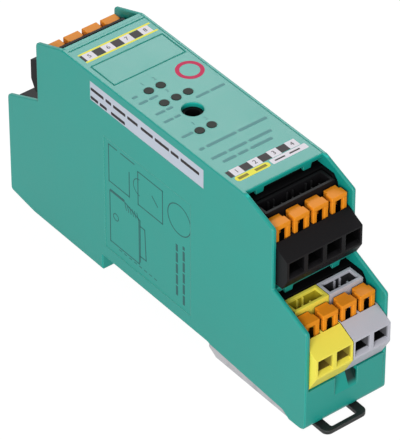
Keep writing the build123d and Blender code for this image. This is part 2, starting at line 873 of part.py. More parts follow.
def make_latch():
    """Foot latch: a channel open below, with a gripping tongue, side flanges and a pull loop."""
    half = min(-inner_left_x, joint_x) - slide_gap
    neck_top = latch_plate_top_z
    loop_left = loop_center_x - loop_width / 2
    loop_y = latch_back_y - neck_length
    hole_width = loop_width - 2 * loop_side_bar
    hole_length = loop_y - loop_end_y - loop_front_bar - latch_sheet
    slot_width = 2 * screw_shank_radius + 2 * latch_slot_gap
    with BuildPart() as latch:
        with BuildSketch(Plane.XY.offset(latch_plate_z)):
            with Locations((0, (latch_front_y + latch_back_y) / 2)):
                Rectangle(2 * half, latch_front_y - latch_back_y)
            with Locations((0, latch_front_y + latch_tongue_reach / 2)):
                Rectangle(latch_tongue_width, latch_tongue_reach)
        extrude(amount=latch_sheet)
        for x in (-half, half - latch_sheet):
            with BuildSketch(Plane.YZ.offset(x)):
                with BuildLine():
                    Polyline(
                        (latch_front_y, latch_plate_top_z), (latch_front_y, latch_lead_rise),
                        (latch_front_y - latch_lead_in, 0), (latch_back_y, 0),
                        (latch_back_y, latch_plate_top_z),
                        close=True,
                    )
                make_face()
            extrude(amount=latch_sheet)
        with BuildSketch(Plane.YZ.offset(loop_left)):
            with BuildLine():
                Polyline(
                    (latch_back_y, latch_plate_z), (latch_back_y, neck_top),
                    (latch_back_y - latch_sheet / 2, neck_top), (loop_y, latch_sheet),
                    (loop_y - latch_sheet, latch_sheet), (loop_y - latch_sheet, 0),
                    (loop_y, 0), (latch_back_y, latch_plate_z - latch_sheet / 2),
                    close=True,
                )
            make_face()
        extrude(amount=loop_width)
        with BuildSketch(Plane.XY):
            with Locations((loop_center_x, (loop_y + loop_end_y) / 2)):
                Rectangle(loop_width, loop_y - loop_end_y)
            with Locations((loop_center_x, loop_end_y + loop_front_bar + hole_length / 2)):
                RectangleRounded(hole_width, hole_length, loop_window_radius, mode=Mode.SUBTRACT)
        extrude(amount=latch_sheet)
        upright = latch.edges().filter_by(Axis.Z)
        fillet(upright.filter_by_position(Axis.Y, loop_end_y - seat_gap, loop_end_y + seat_gap), loop_radius)
        with BuildSketch(Plane.XY.offset(latch_plate_z)):
            for y in (front_screw_y, back_screw_y):
                with Locations((0, y + latch_travel / 2)):
                    SlotOverall(latch_travel + slot_width, slot_width, rotation=90)
        extrude(amount=latch_sheet, mode=Mode.SUBTRACT)
        with BuildSketch(Plane.XY.offset(latch_plate_z)):
            with Locations((0, lug_y + latch_sheet / 2)):
                Rectangle(lug_width, latch_sheet)
        extrude(amount=-(latch_plate_z - lug_clear))
    return latch.part


def make_screws():
    """Two headed screws that guide the latch."""
    with BuildPart() as screws:
        with BuildSketch(Plane.XY.offset(latch_plate_z - slide_gap / 2)):
            with Locations((0, front_screw_y), (0, back_screw_y)):
                Circle(screw_head_radius)
        extrude(amount=-screw_head_height)
        with BuildSketch(Plane.XY.offset(latch_plate_z - slide_gap / 2)):
            with Locations((0, front_screw_y), (0, back_screw_y)):
                RegularPolygon(screw_shank_radius, round_sides)
        extrude(amount=latch_sheet + slide_gap + screw_boss_height - body_wall)
    return screws.part


def make_latch_spring():
    """Compression spring between the rear screw head and the lug, drawn as its outer form."""
    start = back_screw_y + screw_head_radius + seat_gap
    with BuildPart() as spring:
        with BuildSketch(Plane.XZ.offset(-start)):
            with Locations((0, latch_plate_z / 2)):
                RegularPolygon(coil_radius, round_sides)
                RegularPolygon(coil_bore_radius, hidden_sides, mode=Mode.SUBTRACT)
        extrude(amount=-(lug_y - start - seat_gap))
    return spring.part


save(make_housing(), "housing_shell")
save(make_cover(), "side_cover")
save(make_flank_label(), "flank_label")

four_plug = (-plug_half, plug_half, pole_x)
left_plug = (-plug_half, -middle_gap / 2, pole_x[:2])
right_plug = (middle_gap / 2, plug_half, pole_x[2:])
ends = (
    ("near_upper", upper_level, four_plug, False),
    ("near_yellow", lower_level, left_plug, False),
    ("near_grey", lower_level, right_plug, False),
    ("far_upper", upper_level, four_plug, True),
)
for name, level, (x_from, x_to, poles), far in ends:
    save(at_end(make_plug(level, x_from, x_to, poles), far), f"plug_{name}")
    save(at_end(make_contacts(level, poles), far), f"contacts_{name}")
    save(at_end(make_clamp_springs(level, poles), far), f"clamp_springs_{name}")
    for number, x in enumerate(poles, start=1):
        save(at_end(make_lever(level, x), far), f"lever_{name}_{number}")

headers = (
    ("near_upper", upper_level, False),
    ("near_lower", lower_level, False),
    ("far_upper", upper_level, True),
)
for name, level, far in headers:
    save(at_end(make_header(level), far), f"header_{name}")
    save(at_end(make_header_pins(level), far), f"header_pins_{name}")
save(make_blank(), "blank_far_lower")

save(make_main_board(), "main_board")
save(make_front_board(), "front_board")
save(make_light_chips(), "light_chips")
save(make_lenses(), "indicator_lenses")
save(make_address_socket(), "address_socket")
for number, side in enumerate((-1, 1), start=1):
    save(make_relay(side), f"relay_{number}")
    save(make_capacitor(number - 1), f"capacitor_{number}")
    save(make_controller(side), f"controller_{number}")
save(make_transformer(), "transformer")

save(make_latch(), "foot_latch")
save(make_screws(), "latch_screws")
save(make_latch_spring(), "latch_spring")
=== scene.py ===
import bpy
import bmesh
import json
import math
from mathutils import Matrix, Vector


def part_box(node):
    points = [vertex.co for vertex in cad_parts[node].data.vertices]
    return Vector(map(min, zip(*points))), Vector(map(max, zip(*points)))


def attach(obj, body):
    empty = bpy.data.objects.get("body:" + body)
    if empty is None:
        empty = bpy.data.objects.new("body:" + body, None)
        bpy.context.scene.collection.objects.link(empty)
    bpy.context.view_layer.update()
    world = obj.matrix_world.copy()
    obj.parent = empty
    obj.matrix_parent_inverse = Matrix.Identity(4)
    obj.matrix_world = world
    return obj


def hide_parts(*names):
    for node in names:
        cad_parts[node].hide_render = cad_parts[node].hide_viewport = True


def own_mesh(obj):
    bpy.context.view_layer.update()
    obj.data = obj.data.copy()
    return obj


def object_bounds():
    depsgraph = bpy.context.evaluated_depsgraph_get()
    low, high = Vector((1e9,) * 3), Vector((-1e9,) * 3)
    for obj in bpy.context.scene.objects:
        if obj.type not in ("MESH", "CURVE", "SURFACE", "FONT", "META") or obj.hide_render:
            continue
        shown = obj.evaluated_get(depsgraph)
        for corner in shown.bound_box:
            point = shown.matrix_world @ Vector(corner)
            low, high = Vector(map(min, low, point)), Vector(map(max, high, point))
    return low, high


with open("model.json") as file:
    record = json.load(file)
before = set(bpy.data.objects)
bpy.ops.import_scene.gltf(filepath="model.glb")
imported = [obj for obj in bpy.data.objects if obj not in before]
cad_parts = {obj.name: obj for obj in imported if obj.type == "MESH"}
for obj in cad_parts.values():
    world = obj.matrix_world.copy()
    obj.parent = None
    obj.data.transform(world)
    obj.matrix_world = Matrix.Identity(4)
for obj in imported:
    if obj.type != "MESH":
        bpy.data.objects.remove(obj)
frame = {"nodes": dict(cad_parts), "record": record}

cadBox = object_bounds()
mm = 0.001
polePitch = 5.08
slots = {row["node"]: row["material_slot"] for row in frame["record"]["subparts"]}
bodies = {node: body for body, held in frame["record"]["behaviour"]["bodies"].items()
          for node in held}


class Wire:
    # wraps a socket, so that shader maths reads as a sum
    def __init__(self, tree, socket):
        self.tree = tree
        self.socket = socket

    def reckon(self, operation, *parts):
        made = self.tree.nodes.new("ShaderNodeMath")
        made.operation = operation
        for place, value in enumerate(parts):
            if isinstance(value, Wire):
                self.tree.links.new(value.socket, made.inputs[place])
            else:
                made.inputs[place].default_value = value
        return Wire(self.tree, made.outputs[0])

    def __add__(self, other):
        return self.reckon("ADD", self, other)

    def __radd__(self, other):
        return self.reckon("ADD", other, self)

    def __sub__(self, other):
        return self.reckon("SUBTRACT", self, other)

    def __rsub__(self, other):
        return self.reckon("SUBTRACT", other, self)

    def __mul__(self, other):
        return self.reckon("MULTIPLY", self, other)

    def __rmul__(self, other):
        return self.reckon("MULTIPLY", other, self)


# How far a corner turns before it gets the paler edge of wear, which on the housing is also a
# painted highlight, how much sky an open face sees before it is free of the painted shade of
# hollows, and over how many mm the mask of a hollow with painted colour fades at its ends and at
# its poles
paleEdgeTurn = (0.02, 0.2)
openSky = (0.12, 0.62)
paintedPitFade = 0.1
poleFade = (-0.02, 0.05)


class Finish:
    # the nodes of one material, or of the world
    def __init__(self, holder):
        holder.use_nodes = True
        self.holder = holder
        self.tree = holder.node_tree
        self.tree.nodes.clear()

    def node(self, kind, settings=None, values=None, out=0):
        made = self.tree.nodes.new("ShaderNode" + kind)
        for key, value in (settings or {}).items():
            setattr(made, key, value)
        for key, value in (values or {}).items():
            if isinstance(value, Wire):
                self.tree.links.new(value.socket, made.inputs[key])
            else:
                made.inputs[key].default_value = value
        return Wire(self.tree, made.outputs[out]) if made.outputs else None

    def place(self):
        return self.node("TexCoord", out="Object")

    def noise(self, size, detail, vector=None):
        # size is that of one grain, in mm
        return self.node("TexNoise", None, {
            "Vector": vector or self.place(), "Scale": 1 / (size * mm),
            "Detail": detail, "Roughness": 0.55,
        })

    def wave(self, direction, scale, distortion):
        return self.node("TexWave", {"bands_direction": direction}, {
            "Vector": self.place(), "Scale": scale, "Distortion": distortion,
        })

    def stretched(self, scale):
        return self.node("Mapping", None, {"Vector": self.place(), "Scale": scale})

    def blend(self, factor, first, second):
        return self.node("Mix", {"data_type": "RGBA"}, {0: factor, 6: first, 7: second}, 2)

    def ramp(self, value, low, high):
        # 0 below low, 1 above high
        return self.node("MapRange", {"interpolation_type": "SMOOTHSTEP"},
                         {"Value": value, "From Min": low, "From Max": high})

    def roundedNormal(self, radius):
        return self.node("Bevel", {"samples": 4}, {"Radius": radius * mm})

    def edges(self, rounded):
        # 1 along sharp edges, where handling wears the surface; on the housing the paler edge is
        # also a painted highlight
        true = self.node("NewGeometry", out="True Normal")
        facing = self.node("VectorMath", {"operation": "DOT_PRODUCT"}, {0: rounded, 1: true}, 1)
        return self.ramp(1 - facing, *paleEdgeTurn)

    def openness(self, reach):
        # 0 deep in a hollow, 1 on open faces: the mask of the painted shade in hollows
        seen = self.node("AmbientOcclusion", {"samples": 6}, {"Distance": reach * mm}, "AO")
        return self.ramp(seen, *openSky)

    def along(self, axis):
        return self.node("SeparateXYZ", None, {"Vector": self.place()}, axis)

    def between(self, value, span, soft=paintedPitFade):
        # 1 from one end of a span in mm to the other, fading before both ends
        low, high = span
        begun = self.ramp(value, (low - paintedPitFade) * mm, low * mm)
        return begun * (1 - self.ramp(value, (high - soft) * mm, high * mm))

    def paintedPitMask(self, paintedPit):
        # 1 inside a hollow with painted colour (shade in windows, trays, bays and notches, light
        # in the grooves of the top), which both ends of the module have, at each pole where "pole"
        # is its half width
        x, y, z = self.along("X"), self.along("Y"), self.along("Z")
        inside = self.between(y.reckon("ABSOLUTE", y), paintedPit["y"], paintedPit.get("soft", paintedPitFade))
        inside = inside * self.between(z, paintedPit["z"])
        if "pole" not in paintedPit:
            return inside * self.between(x, paintedPit["x"])
        turn = x * (1 / (polePitch * mm))
        turn = turn.reckon("FRACT", turn) - 0.5
        away = turn.reckon("ABSOLUTE", turn) * (polePitch * mm)
        start, end = ((paintedPit["pole"] + fade) * mm for fade in poleFade)
        return inside * (1 - self.ramp(away, start, end))

    def bump(self, height, depth, normal=None):
        values = {"Height": height, "Distance": depth * mm, "Strength": 1.0}
        if normal:
            values["Normal"] = normal
        return self.node("Bump", None, values)

    def surface(self, values):
        shader = self.node("BsdfPrincipled", None, values)
        self.node("OutputMaterial", None, {"Surface": shader})
        return self.holder


def startFinish(name):
    return Finish(bpy.data.materials.new(name))


def paint(red, green, blue):
    return (red, green, blue, 1.0)


def grey(level):
    return paint(level, level, level)


def screen(red, green, blue):
    # screen colour, 0 to 255, to the numbers a shader takes
    parts = []
    for part in (red / 255, green / 255, blue / 255):
        parts.append(part / 12.92 if part <= 0.04045 else ((part + 0.055) / 1.055) ** 2.4)
    return paint(*parts)


def shade(colour, factor):
    return paint(*(part * factor for part in colour[:3]))


# Finishes. Each has its common settings first, and a look changes some of them.
# Sizes are in mm, but "weave" and "sheets" are the scales of a wave texture.

# the hollow share and the reach set the painted shade that darkens hollows
moulding = {"cloud": 9.0, "grain": 0.22, "flow": 30.0, "scuff": 1.6, "scuffed": (0.62, 0.78),
            "edge": 0.15, "paleEdgeShare": 0.25, "vary": 0.06, "flowShare": 0.25, "deepBy": 0.9,
            "paleBy": 1.6, "paintedHollowShadeBy": 0.35, "reach": 3.0, "specular": 0.4, "depth": 0.012,
            "cloudRough": 0.08, "grainRough": 0.06, "scuffRough": 0.05, "scuffHeight": 0.15}


def mouldedPlastic(name, look):
    # spark-eroded tool texture, faint clouding, paler worn edges (on the housing also a painted
    # highlight), painted shade in hollows and in the pits, painted light in the grooves of the top
    look = {**moulding, **look}
    colour, vary = look["colour"], look["vary"]
    finish = startFinish(name)
    cloud = finish.noise(look["cloud"], 3)
    grain = finish.noise(look["grain"], 4)
    flow = finish.noise(look["flow"], 2)
    scuff = finish.ramp(finish.noise(look["scuff"], 6), *look["scuffed"])
    rounded = finish.roundedNormal(look["edge"])
    paleEdge = finish.edges(rounded) * look["paleEdgeShare"]
    deep = look.get("deep", shade(colour, look["deepBy"]))
    pale = look.get("pale", shade(colour, look["paleBy"]))
    paintedHollowShade = look.get("paintedHollowShade", shade(colour, look["paintedHollowShadeBy"]))
    tone = finish.blend(cloud, shade(colour, 1 - vary), shade(colour, 1 + vary))
    tone = finish.blend(flow * look["flowShare"], tone, deep)
    # paler edges: wear, and on the housing a painted highlight
    tone = finish.blend(paleEdge * grain, tone, pale)
    # painted shade: faces that see little sky take the darker hollow colour
    tone = finish.blend(finish.openness(look["reach"]), paintedHollowShade, tone)
    # painted shade in windows, trays, bays and notches, painted light in the grooves of the top
    for paintedPit in look.get("paintedPits", ()):
        tone = finish.blend(finish.paintedPitMask(paintedPit), tone, paintedPit["colour"])
    rough = look["rough"] + (cloud - 0.5) * look["cloudRough"]
    rough = rough + (grain - 0.5) * look["grainRough"] + scuff * look["scuffRough"]
    relief = grain + scuff * look["scuffHeight"]
    return finish.surface({
        "Base Color": tone, "Roughness": rough, "Specular IOR Level": look["specular"],
        "Normal": finish.bump(relief, look["depth"], rounded),
    })


# the hollow share and the reach set the painted shade that darkens hollows
smoothMoulding = {"sink": 2.5, "scratch": 0.12, "scratched": (0.66, 0.74), "way": (0.15, 1.0, 1.0),
                  "edge": 0.14, "paleEdgeShare": 0.3, "sunkBy": 0.94, "raisedBy": 1.05, "paleBy": 1.25,
                  "paintedHollowShadeBy": 0.3, "reach": 2.0, "specular": 0.5, "depth": 0.02,
                  "scratchRough": 0.12, "sinkRough": 0.08, "scratchHeight": -0.1}


def glossPlastic(name, look):
    # smooth moulding with soft sinks and hairline scratches
    look = {**smoothMoulding, **look}
    colour = look["colour"]
    finish = startFinish(name)
    sink = finish.noise(look["sink"], 2)
    scratch = finish.noise(look["scratch"], 3, finish.stretched(look["way"]))
    scratch = finish.ramp(scratch, *look["scratched"])
    rounded = finish.roundedNormal(look["edge"])
    paleEdge = finish.edges(rounded) * look["paleEdgeShare"]
    pale = look.get("pale", shade(colour, look["paleBy"]))
    paintedHollowShade = look.get("paintedHollowShade", shade(colour, look["paintedHollowShadeBy"]))
    tone = finish.blend(sink, shade(colour, look["sunkBy"]), shade(colour, look["raisedBy"]))
    tone = finish.blend(paleEdge, tone, pale)
    # painted shade: faces that see little sky take the darker hollow colour
    tone = finish.blend(finish.openness(look["reach"]), paintedHollowShade, tone)
    rough = look["rough"] + scratch * look["scratchRough"] + (sink - 0.5) * look["sinkRough"]
    relief = sink + scratch * look["scratchHeight"]
    return finish.surface({
        "Base Color": tone, "Roughness": rough, "Specular IOR Level": look["specular"],
        "Normal": finish.bump(relief, look["depth"], rounded),
    })


sheetMetal = {"way": (1.0, 0.06, 1.0), "grain": 0.15, "spangle": 1.2, "spangleShare": 0.5,
              "tarnish": 3.0, "tarnished": (0.45, 0.75), "dull": 0.35, "dullBy": 0.62,
              "edge": 0.1, "rubbed": 0.5, "rubbedBy": 1.25, "darkBy": 0.92, "lightBy": 1.06,
              "grainRough": 0.18, "tarnishRough": 0.1, "depth": 0.006,
              # how far the painted dark reflection and shade of the pull loop loses metal and
              # gains roughness
              "paintedDarkLoopMetal": 0.8, "paintedDarkLoopRough": 0.15}


def rolledMetal(name, look):
    # drawn or rolled sheet, grain along one direction, spangle of the plating
    look = {**sheetMetal, **look}
    colour = look["colour"]
    finish = startFinish(name)
    grain = finish.noise(look["grain"], 4, finish.stretched(look["way"]))
    spangle = finish.node("TexVoronoi", None, {
        "Vector": finish.place(), "Scale": 1 / (look["spangle"] * mm),
    }, "Color")
    patch = finish.node("SeparateColor", None, {"Color": spangle})
    tarnish = finish.ramp(finish.noise(look["tarnish"], 5), *look["tarnished"])
    rounded = finish.roundedNormal(look["edge"])
    rubbed = finish.edges(rounded) * look["rubbed"]
    dark, light = shade(colour, look["darkBy"]), shade(colour, look["lightBy"])
    tone = finish.blend(patch * look["spangleShare"], dark, light)
    tone = finish.blend(tarnish * look["dull"], tone, shade(colour, look["dullBy"]))
    tone = finish.blend(rubbed, tone, shade(colour, look["rubbedBy"]))
    rough = look["rough"] + (grain - 0.5) * look["grainRough"] + tarnish * look["tarnishRough"]
    metallic = 1.0
    if "paintedDarkLoopSpan" in look:
        # painted dark reflection and shade on the pull loop, its rubbed rim left bright
        start, end = (y * mm for y in look["paintedDarkLoopSpan"])
        paintedDarkLoop = 1 - finish.ramp(finish.along("Y"), start, end)
        tone = finish.blend(paintedDarkLoop * (1 - rubbed), tone, look["paintedDarkLoop"])
        metallic = 1 - paintedDarkLoop * look["paintedDarkLoopMetal"]
        rough = rough + paintedDarkLoop * look["paintedDarkLoopRough"]
    return finish.surface({
        "Base Color": tone, "Metallic": metallic, "Roughness": rough,
        "Normal": finish.bump(grain, look["depth"], rounded),
    })


filmStock = {"fibre": 0.08, "stain": 5.0, "gap": 0.18, "gapped": (0.68, 0.8), "gaps": 0.25,
             "darkBy": 0.95, "lightBy": 1.04, "underBy": 1.1, "rough": 0.45,
             "fibreRough": 0.12, "specular": 0.35, "depth": 0.003}


def printedFilm(name, look):
    # label stock and ink: fine fibre, a slight sheen, tiny gaps in the ink
    look = {**filmStock, **look}
    colour = look["colour"]
    finish = startFinish(name)
    fibre = finish.noise(look["fibre"], 4)
    stain = finish.noise(look["stain"], 3)
    gap = finish.ramp(finish.noise(look["gap"], 5), *look["gapped"])
    under = look.get("under", shade(colour, look["underBy"]))
    tone = finish.blend(stain, shade(colour, look["darkBy"]), shade(colour, look["lightBy"]))
    tone = finish.blend(gap * look["gaps"], tone, under)
    return finish.surface({
        "Base Color": tone, "Roughness": look["rough"] + (fibre - 0.5) * look["fibreRough"],
        "Specular IOR Level": look["specular"], "Normal": finish.bump(fibre, look["depth"]),
    })


boardLook = {"colour": paint(0.01, 0.07, 0.03), "trackColour": paint(0.03, 0.16, 0.06),
             "weave": 400.0, "wander": 0.4, "weaveBy": 1.35, "track": 2.2, "tracked": (0.48, 0.5),
             "trackShare": 0.5, "rough": 0.3, "trackRough": 0.1, "specular": 0.5,
             "weaveHeight": 0.1, "depth": 0.02}


def laminate(name, look):
    # glass weave under lacquer, with copper tracks below it
    finish = startFinish(name)
    weave = finish.wave("Y", look["weave"], look["wander"])
    cross = finish.wave("Z", look["weave"], look["wander"])
    track = finish.ramp(finish.noise(look["track"], 1), *look["tracked"])
    tone = finish.blend(weave * cross, look["colour"], shade(look["colour"], look["weaveBy"]))
    tone = finish.blend(track * look["trackShare"], tone, look["trackColour"])
    return finish.surface({
        "Base Color": tone, "Roughness": look["rough"] + track * look["trackRough"],
        "Specular IOR Level": look["specular"],
        "Normal": finish.bump(track + weave * look["weaveHeight"], look["depth"]),
    })


coreLook = {"colour": paint(0.16, 0.15, 0.14), "varnish": paint(0.2, 0.08, 0.02),
            "sheets": 620.0, "wander": 0.15, "gapBy": 0.6, "rust": 1.5, "rusted": (0.5, 0.8),
            "rustShare": 0.5, "metallic": 0.7, "rough": 0.42, "rustRough": 0.2, "depth": 0.03}


def stackedCore(name, look):
    # thin steel sheets stacked, with varnish
    finish = startFinish(name)
    sheets = finish.wave("X", look["sheets"], look["wander"])
    rust = finish.ramp(finish.noise(look["rust"], 5), *look["rusted"])
    tone = finish.blend(sheets, shade(look["colour"], look["gapBy"]), look["colour"])
    tone = finish.blend(rust * look["rustShare"], tone, look["varnish"])
    return finish.surface({
        "Base Color": tone, "Metallic": look["metallic"],
        "Roughness": look["rough"] + rust * look["rustRough"],
        "Normal": finish.bump(sheets, look["depth"]),
    })


# Hollows that the light doesn't reach, in mm of the frame, with their painted colour:
# painted shade in wire windows, trays and bays behind the levers and screwdriver notches, painted
# light in the grooves of the top
upperWindow = {"y": (36.0, 44.75), "soft": 0.9, "z": (34.1, 37.8), "pole": 2.0,
               "colour": grey(0.001)}
lowerWindow = {"y": (46.0, 54.75), "soft": 0.9, "z": (14.0, 17.7), "pole": 2.0}
tray = {"y": (42.75, 45.3), "z": (20.3, 24.8)}
bay = {"y": (46.4, 50.3), "z": (9.0, 20.25), "pole": 2.3}
notch = {"x": (0.9, 3.15), "y": (49.9, 52.68), "soft": 0.7, "z": (3.5, 7.0),
         "colour": paint(0.001, 0.02, 0.016)}
# painted light: the grooves are lighter than the housing, to lift their shade
grooves = {"x": (-11.0, 10.9), "y": (0.0, 52.0), "z": (48.45, 48.72),
           "colour": paint(0.02, 0.52, 0.44)}

# In the looks below, the hollow colour is painted shade for faces in hollows
housingLook = {
    "colour": paint(0.008, 0.325, 0.272), "deep": paint(0.004, 0.27, 0.22),
    "pale": paint(0.3, 0.7, 0.6), "paintedHollowShade": paint(0.006, 0.26, 0.215),
    # the pale edge colour, its large share and the wide edge paint a highlight along the flank
    # edges, besides wear
    "rough": 0.36, "specular": 0.3, "vary": 0.035, "paleEdgeShare": 0.9, "edge": 0.3,
    # painted shade in the screwdriver notches, painted light in the grooves of the top
    "paintedPits": (notch, grooves),
}
blackLook = {
    "colour": paint(0.007, 0.0065, 0.0075), "pale": paint(0.03, 0.03, 0.032),
    # painted shade in hollows and in the upper wire windows
    "paintedHollowShade": grey(0.001), "rough": 0.5, "specular": 0.1, "paintedPits": (upperWindow,),
}
yellowLook = {
    "colour": paint(0.95, 0.83, 0.1), "deep": paint(0.88, 0.75, 0.07),
    "pale": paint(0.97, 0.92, 0.35), "paintedHollowShade": paint(0.13, 0.09, 0.008),
    "rough": 0.45, "specular": 0.2,
    # painted shade in the lower wire windows, the bays behind the levers and the tray
    "paintedPits": ({**lowerWindow, "colour": paint(0.16, 0.11, 0.02)},
             {**bay, "colour": paint(0.04, 0.025, 0.003)},
             {**tray, "x": (-9.0, -0.4), "colour": paint(0.45, 0.37, 0.02)}),
}
greyLook = {
    "colour": paint(0.54, 0.54, 0.6), "pale": paint(0.7, 0.7, 0.76),
    "paintedHollowShade": paint(0.012, 0.012, 0.014), "rough": 0.45, "specular": 0.2,
    # painted shade in the lower wire windows, the bays behind the levers and the tray
    "paintedPits": ({**lowerWindow, "colour": grey(0.003)},
             {**bay, "colour": grey(0.008)},
             {**tray, "x": (0.4, 9.0), "colour": paint(0.03, 0.03, 0.033)}),
}
finishes = {
    "housing_green": mouldedPlastic("housingGreen", housingLook),
    "label_white": printedFilm("labelFilm", {
        "colour": paint(0.52, 0.57, 0.66), "rough": 0.5, "gaps": 0.1}),
    "plug_black": mouldedPlastic("plugBlack", blackLook),
    "plug_yellow": mouldedPlastic("plugYellow", yellowLook),
    "plug_grey": mouldedPlastic("plugGrey", greyLook),
    # the lever's hollow colour is painted shade in the gap between its legs
    "lever_orange": glossPlastic("leverOrange", {
        "colour": paint(0.87, 0.29, 0.014), "pale": paint(0.9, 0.45, 0.1),
        "paintedHollowShade": paint(0.1, 0.025, 0.003), "rough": 0.45, "specular": 0.1}),
    "header_black": mouldedPlastic("headerBlack", {
        "colour": paint(0.003, 0.003, 0.0035), "pale": paint(0.012, 0.012, 0.013),
        "rough": 0.6, "specular": 0.06}),
    "pin_metal": rolledMetal("pinMetal", {
        "colour": paint(0.72, 0.7, 0.65), "rough": 0.3, "dull": 0.25}),
    "spring_steel": rolledMetal("springSteel", {
        "colour": paint(0.6, 0.6, 0.61), "rough": 0.28, "way": (1.0, 1.0, 0.1)}),
    "board_green": laminate("boardLaminate", boardLook),
    "chip_white": glossPlastic("chipCeramic", {
        "colour": paint(0.8, 0.77, 0.55), "rough": 0.35, "sink": 0.6}),
    "lens_dark": glossPlastic("lensSmoke", {
        "colour": paint(0.02, 0.026, 0.022), "pale": paint(0.05, 0.06, 0.055),
        "rough": 0.5, "specular": 0.08, "sink": 0.9}),
    "socket_black": mouldedPlastic("socketBlack", {
        "colour": paint(0.004, 0.004, 0.0045), "rough": 0.55, "specular": 0.1}),
    "relay_case": glossPlastic("relayCase", {"colour": paint(0.6, 0.6, 0.57), "rough": 0.32}),
    "capacitor_can": glossPlastic("capacitorSleeve", {
        "colour": paint(0.02, 0.03, 0.09), "rough": 0.3}),
    "chip_black": mouldedPlastic("chipBlack", {
        "colour": paint(0.012, 0.012, 0.013), "rough": 0.55}),
    "core_steel": stackedCore("transformerCore", coreLook),
    "screw_steel": rolledMetal("screwZinc", {
        "colour": paint(0.58, 0.58, 0.57), "rough": 0.32, "way": (1.0, 1.0, 1.0)}),
    "latch_steel": rolledMetal("latchZinc", {
        "colour": paint(0.5, 0.5, 0.52), "rough": 0.36, "spangle": 2.0,
        # the pull loop is darkened as painted dark reflection and shade
        "paintedDarkLoopSpan": (-50.2, -49.2), "paintedDarkLoop": paint(0.012, 0.014, 0.013)}),
}

for name, slot in slots.items():
    node = frame["nodes"][name]
    node.data.materials.clear()
    node.data.materials.append(finishes[slot])
print("finishes set on", len(frame["nodes"]), "nodes")


# Softened corners on the small mouldings and the pressed latch
cornerLook = {"weld": 0.002, "turn": 28, "widths": {
    "plug_": 0.14, "header_near": 0.1, "header_far": 0.1, "blank_": 0.12, "foot_latch": 0.1}}


def soften(piece, width, turn):
    # turn is the least angle of an edge that gets rounded, in degrees
    corner = piece.modifiers.new("corner", "BEVEL")
    corner.width = width * mm
    corner.segments = 2
    corner.limit_method = "ANGLE"
    corner.angle_limit = math.radians(turn)
    piece.modifiers.new("shading", "WEIGHTED_NORMAL").keep_sharp = False


for name, node in frame["nodes"].items():
    for start, width in cornerLook["widths"].items():
        if name.startswith(start):
            node.modifiers.new("join", "WELD").merge_threshold = cornerLook["weld"] * mm
            soften(node, width, cornerLook["turn"])
print("corners softened")


# Shared by the made pieces

def bridge(shape, one, two):
    # a band of faces between two closed rows of points
    for here in range(len(one)):
        after = (here + 1) % len(one)
        shape.faces.new((one[here], one[after], two[after], two[here]))


def addBlock(shape, outline, lower, upper, seat):
    # a closed solid over an outline, between two depths
    near = [shape.verts.new(seat(u, v, lower)) for u, v in outline]
    far = [shape.verts.new(seat(u, v, upper)) for u, v in outline]
    shape.faces.new(near[::-1])
    shape.faces.new(far)
    bridge(shape, near, far)


def outlineFlat(u, v, depth):
    # outline in X and Y, depth along Z
    return Vector((u, v, depth))


def outlineSide(u, v, depth):
    # outline in Y and Z, depth along X
    return Vector((depth, u, v))


def finishPiece(shape, name, material, body="housing"):
    bmesh.ops.recalc_face_normals(shape, faces=shape.faces)
    mesh = bpy.data.meshes.new(name)
    shape.to_mesh(mesh)
    shape.free()
    piece = bpy.data.objects.new(name, mesh)
    bpy.context.scene.collection.objects.link(piece)
    mesh.materials.append(material)
    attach(piece, body)
    return piece


# Print on the faces, as thin plates of ink. On the flank, heights count from the module's foot.

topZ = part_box("housing_shell")[1].z
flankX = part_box("housing_shell")[0].x
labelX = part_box("flank_label")[0].x
ink = {"height": 0.02, "sunk": 0.01, "fieldDepth": 0.15, "foot": 4.1, "weld": 0.0005}


def onTop(u, v, height):
    return Vector((u * mm, v * mm, topZ + height * mm))


def overInk(u, v, height):
    # on a field that is printed already
    return onTop(u, v, height + ink["height"])


def onField(u, v, height):
    # the shallow panel on the left flank
    return Vector((flankX + (ink["fieldDepth"] - height) * mm, u * mm, (v - ink["foot"]) * mm))


def onLabel(u, v, height):
    return Vector((labelX - height * mm, u * mm, (v - ink["foot"]) * mm))


def addPanel(shape, outline, seat):
    addBlock(shape, outline, -ink["sunk"], ink["height"], seat)


def bar(u0, v0, u1, v1):
    return [(u0, v0), (u1, v0), (u1, v1), (u0, v1)]


def softBar(u0, v0, u1, v1, radius, steps=5):
    # a bar with rounded corners
    points = []
    for cu, cv, turn in ((u1, v0, -90), (u1, v1, 0), (u0, v1, 90), (u0, v0, 180)):
        inU = -radius if cu == u1 else radius
        inV = -radius if cv == v1 else radius
        for step in range(steps + 1):
            angle = math.radians(turn + 90 * step / steps)
            points.append((cu + inU + radius * math.cos(angle),
                           cv + inV + radius * math.sin(angle)))
    return points


def stroke(u0, v0, u1, v1, width):
    # a straight line of some width
    along = Vector((u1 - u0, v1 - v0)).normalized()
    side = Vector((-along.y, along.x)) * width / 2
    ahead = along * width / 2
    start, end = Vector((u0, v0)) - ahead, Vector((u1, v1)) + ahead
    return [tuple(start - side), tuple(end - side), tuple(end + side), tuple(start + side)]


def addArc(shape, seat, centre, radius, width, first=0.0, last=360.0, steps=48):
    # part of a ring, or a whole one
    whole = abs(last - first) >= 360
    inner, outer = radius - width / 2, radius + width / 2
    rows = []
    for step in range(steps if whole else steps + 1):
        angle = math.radians(first + (last - first) * step / steps)
        row = []
        for reach, height in ((inner, -ink["sunk"]), (outer, -ink["sunk"]),
                              (outer, ink["height"]), (inner, ink["height"])):
            row.append(shape.verts.new(seat(centre[0] + reach * math.cos(angle),
                                            centre[1] + reach * math.sin(angle), height)))
        rows.append(row)
    for one, two in zip(rows, rows[1:] + rows[:1] if whole else rows[1:]):
        bridge(shape, one, two)
    if not whole:
        shape.faces.new(rows[0][::-1])
        shape.faces.new(rows[-1])


